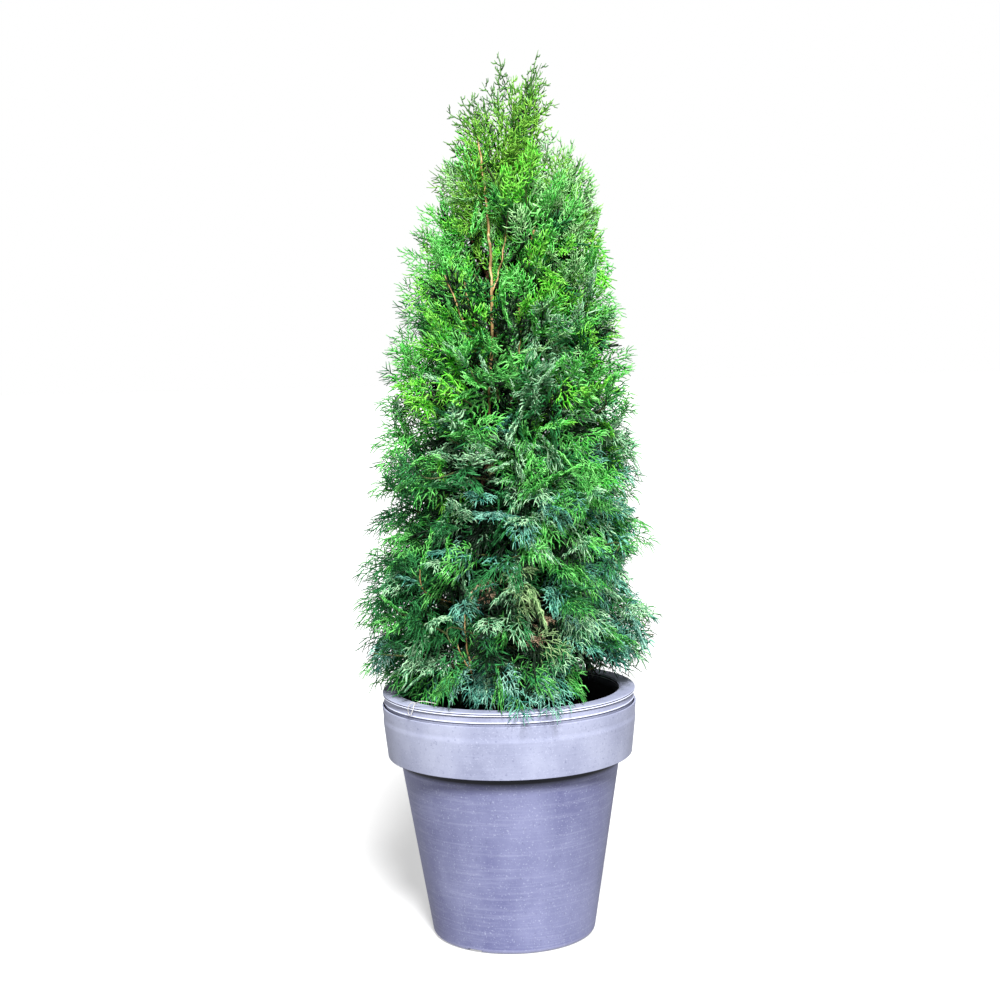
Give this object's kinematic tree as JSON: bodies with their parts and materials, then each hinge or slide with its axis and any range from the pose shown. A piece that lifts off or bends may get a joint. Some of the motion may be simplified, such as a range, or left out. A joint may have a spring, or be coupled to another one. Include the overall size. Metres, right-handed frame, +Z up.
{
  "type": "potted emerald green arborvitae",
  "caption": "Narrow conical evergreen with dense upright fans of scale-leaf shoots, standing in a round lilac-grey plastic pot with a rolled rim.",
  "frame": {"origin": "centre of the pot's flat underside", "axes": "+Z up along the plant's height, -Y towards the front of the plant"},
  "size_m": [0.3358, 0.3461, 1.0184],
  "materials": {
    "pot_plastic": "matte moulded plastic, dusty, pale lilac-grey",
    "potting_soil": "dark moist potting compost",
    "bark": "thin fibrous orange-brown bark",
    "foliage_skirt": "blue-green scale-leaf shoots with pale tips",
    "foliage_lower": "deep green scale-leaf shoots",
    "foliage_middle": "green scale-leaf shoots",
    "foliage_upper": "bright green scale-leaf shoots",
    "foliage_shoulder": "bright yellow-green scale-leaf shoots",
    "foliage_leader": "pale yellow-green young shoots"
  },
  "bodies": {
    "root": {"outer_pot": "pot_plastic", "liner_pot": "pot_plastic", "potting_soil": "potting_soil", "trunk": "bark", "bough_skirt_1": "bark", "bough_skirt_2": "bark", "bough_skirt_3": "bark", "bough_skirt_4": "bark", "bough_skirt_5": "bark", "bough_skirt_6": "bark", "bough_lower_1": "bark", "bough_lower_2": "bark", "bough_lower_3": "bark", "bough_lower_4": "bark", "bough_lower_5": "bark", "bough_lower_6": "bark", "bough_middle_1": "bark", "bough_middle_2": "bark", "bough_middle_3": "bark", "bough_middle_4": "bark", "bough_middle_5": "bark", "bough_upper_1": "bark", "bough_upper_2": "bark", "bough_upper_3": "bark", "bough_upper_4": "bark", "bough_shoulder_1": "bark", "bough_shoulder_2": "bark", "bough_shoulder_3": "bark", "bough_left_leader": "bark", "bough_back_leader": "bark", "foliage_skirt_1": "foliage_skirt", "foliage_skirt_2": "foliage_skirt", "foliage_skirt_3": "foliage_skirt", "foliage_skirt_4": "foliage_skirt", "foliage_skirt_5": "foliage_skirt", "foliage_skirt_6": "foliage_skirt", "foliage_lower_1": "foliage_lower", "foliage_lower_2": "foliage_lower", "foliage_lower_3": "foliage_lower", "foliage_lower_4": "foliage_lower", "foliage_lower_5": "foliage_lower", "foliage_lower_6": "foliage_lower", "foliage_middle_1": "foliage_middle", "foliage_middle_2": "foliage_middle", "foliage_middle_3": "foliage_middle", "foliage_middle_4": "foliage_middle", "foliage_middle_5": "foliage_middle", "foliage_upper_1": "foliage_upper", "foliage_upper_2": "foliage_upper", "foliage_upper_3": "foliage_upper", "foliage_upper_4": "foliage_upper", "foliage_shoulder_1": "foliage_shoulder", "foliage_shoulder_2": "foliage_shoulder", "foliage_shoulder_3": "foliage_shoulder", "foliage_left_leader": "foliage_leader", "foliage_back_leader": "foliage_leader", "foliage_main_leader": "foliage_leader"}
  },
  "joints": []
}
